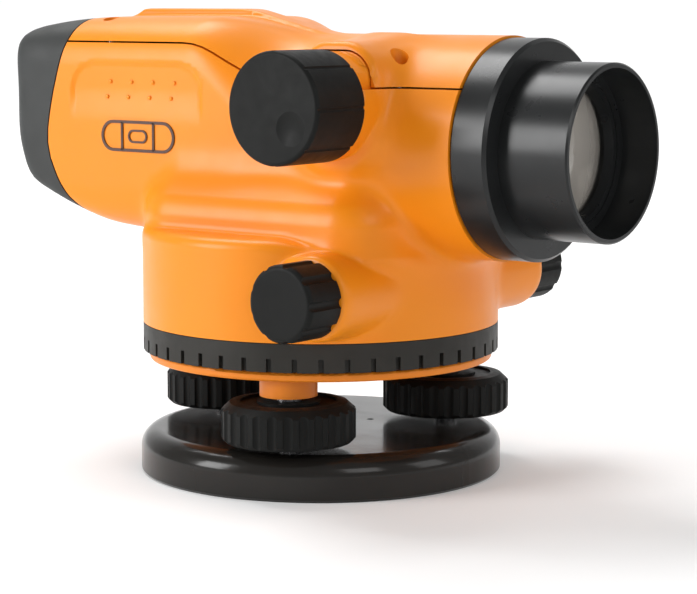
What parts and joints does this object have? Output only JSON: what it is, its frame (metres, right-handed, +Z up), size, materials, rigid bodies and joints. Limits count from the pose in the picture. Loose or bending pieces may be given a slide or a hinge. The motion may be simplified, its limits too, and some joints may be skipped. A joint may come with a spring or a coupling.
{
  "type": "automatic level",
  "caption": "Builder's automatic level: telescope with focus knob and hidden pendulum compensator, turning on a round head over three foot screws and a base plate.",
  "frame": {"origin": "centre of the base plate's underside, where the tripod screw enters", "axes": "+Z up along the instrument's vertical axis, +X towards the objective, focus knob on -Y"},
  "size_m": [0.2184, 0.1334, 0.1444],
  "materials": {
    "base_black": "gloss black enamel",
    "brass": "turned brass",
    "steel": "turned steel",
    "knob_black": "satin moulded black",
    "ring_black": "satin moulded black",
    "scale_white": "white engraved band",
    "orange_shell": "semi-gloss orange paint",
    "orange_tribrach": "semi-gloss orange paint",
    "rear_black": "satin dark grey",
    "anodised_black": "black anodised",
    "aluminium": "machined",
    "lens_glass": "coated optical glass",
    "vial_glass": "vial with green spirit",
    "mirror_glass": "silvered"
  },
  "bodies": {
    "base": {"base_plate": "base_black", "tripod_thread_insert": "steel", "spring_plate": "steel", "spring_plate_screws": "steel"},
    "foot_screw_a": {"foot_screw_shaft_a": "steel", "foot_screw_knob_a": "knob_black"},
    "foot_screw_b": {"foot_screw_shaft_b": "steel", "foot_screw_knob_b": "knob_black"},
    "foot_screw_c": {"foot_screw_shaft_c": "steel", "foot_screw_knob_c": "knob_black"},
    "tribrach": {"tribrach_body": "orange_tribrach", "foot_screw_bushes": "brass", "spindle": "steel", "clutch_nut": "steel", "thrust_washer": "brass", "spindle_screw": "steel"},
    "drive_gear": {"drive_gear": "brass", "clutch_washer": "brass"},
    "circle": {"circle_ring": "ring_black", "circle_scale": "scale_white"},
    "alidade": {"main_housing": "orange_shell", "top_cover": "orange_shell", "rear_cover": "rear_black", "cover_screws": "steel", "circle_window": "lens_glass", "bearing_plate": "aluminium", "bearing_plate_screws": "steel", "bearing_bush": "brass", "front_ring": "anodised_black", "objective_tube": "anodised_black", "objective_lens": "lens_glass", "lens_retaining_ring": "anodised_black", "focus_guide": "anodised_black", "focus_bush": "brass", "drive_bushes": "brass", "compensator_frame": "aluminium", "fixed_prisms": "lens_glass", "suspension_wires": "steel", "damping_magnets": "steel", "eyepiece_sleeve": "anodised_black", "reticle_cell": "brass", "reticle": "lens_glass", "reticle_screws": "steel", "level_housing": "rear_black", "level_vial": "vial_glass", "level_screws": "steel", "level_mirror_holder": "rear_black", "level_mirror": "mirror_glass"},
    "focus_knob": {"focus_knob": "knob_black", "focus_shaft": "steel"},
    "focus_carriage": {"focus_carriage": "aluminium", "focusing_lens": "lens_glass"},
    "drive_shaft": {"drive_shaft": "steel", "drive_knob_near": "knob_black", "drive_knob_far": "knob_black"},
    "pendulum": {"pendulum": "aluminium", "pendulum_prism": "lens_glass"},
    "eyepiece": {"eyepiece_tube": "anodised_black", "eyepiece_lenses": "lens_glass"},
    "diopter_ring": {"diopter_ring": "knob_black"}
  },
  "joints": [
    {"name": "foot_screw_a_turn", "type": "hinge", "parent": "base", "child": "foot_screw_a", "pos_m": [0.01748, -0.03819, 0.0082], "axis": [0, 0, 1], "range_deg": [-481, 1921]},
    {"name": "foot_screw_b_turn", "type": "hinge", "parent": "base", "child": "foot_screw_b", "pos_m": [0.02433, 0.03424, 0.0082], "axis": [0, 0, 1], "range_deg": [-481, 1921]},
    {"name": "foot_screw_c_turn", "type": "hinge", "parent": "base", "child": "foot_screw_c", "pos_m": [-0.04181, 0.00395, 0.0082], "axis": [0, 0, 1], "range_deg": [-481, 1921]},
    {"name": "level_lift", "type": "slide", "parent": "base", "child": "tribrach", "axis": [0, 0, 1], "range_m": [-0.001, 0.004]},
    {"name": "hand_turn", "type": "hinge", "parent": "tribrach", "child": "drive_gear", "pos_m": [0, 0, 0.0616], "axis": [0, 0, 1], "continuous": true},
    {"name": "fine_turn", "type": "hinge", "parent": "drive_gear", "child": "alidade", "pos_m": [0, 0, 0.0616], "axis": [0, 0, 1], "continuous": true},
    {"name": "circle_turn", "type": "hinge", "parent": "tribrach", "child": "circle", "pos_m": [0, 0, 0.043], "axis": [0, 0, 1], "continuous": true},
    {"name": "drive_spin", "type": "hinge", "parent": "alidade", "child": "drive_shaft", "pos_m": [0.0371, 0, 0.0616], "axis": [0, 1, 0], "continuous": true},
    {"name": "focus_turn", "type": "hinge", "parent": "alidade", "child": "focus_knob", "pos_m": [0.0337, -0.05, 0.1168], "axis": [0, 1, 0], "range_deg": [-151, 151]},
    {"name": "focus_slide", "type": "slide", "parent": "alidade", "child": "focus_carriage", "axis": [1, 0, 0], "range_m": [-0.011, 0.011]},
    {"name": "diopter_turn", "type": "hinge", "parent": "eyepiece", "child": "diopter_ring", "pos_m": [-0.105, 0, 0.1036], "axis": [1, 0, 0], "range_deg": [-181, 181]},
    {"name": "eyepiece_slide", "type": "slide", "parent": "alidade", "child": "eyepiece", "axis": [1, 0, 0], "range_m": [-0.0015, 0.0015]},
    {"name": "compensator_swing", "type": "hinge", "parent": "alidade", "child": "pendulum", "pos_m": [-0.029, 0, 0.1082], "axis": [0, 1, 0], "range_deg": [-0.5, 0.5], "deforming": ["suspension_wires"]}
  ],
  "couplings": [
    {"joint": "foot_screw_a_turn", "follows": "level_lift", "rad_per_m": 8377.6},
    {"joint": "foot_screw_b_turn", "follows": "level_lift", "rad_per_m": 8377.6},
    {"joint": "foot_screw_c_turn", "follows": "level_lift", "rad_per_m": 8377.6},
    {"joint": "drive_spin", "follows": "fine_turn", "ratio": 80},
    {"joint": "focus_turn", "follows": "focus_slide", "rad_per_m": -238.1},
    {"joint": "diopter_turn", "follows": "eyepiece_slide", "rad_per_m": 2094.4}
  ]
}
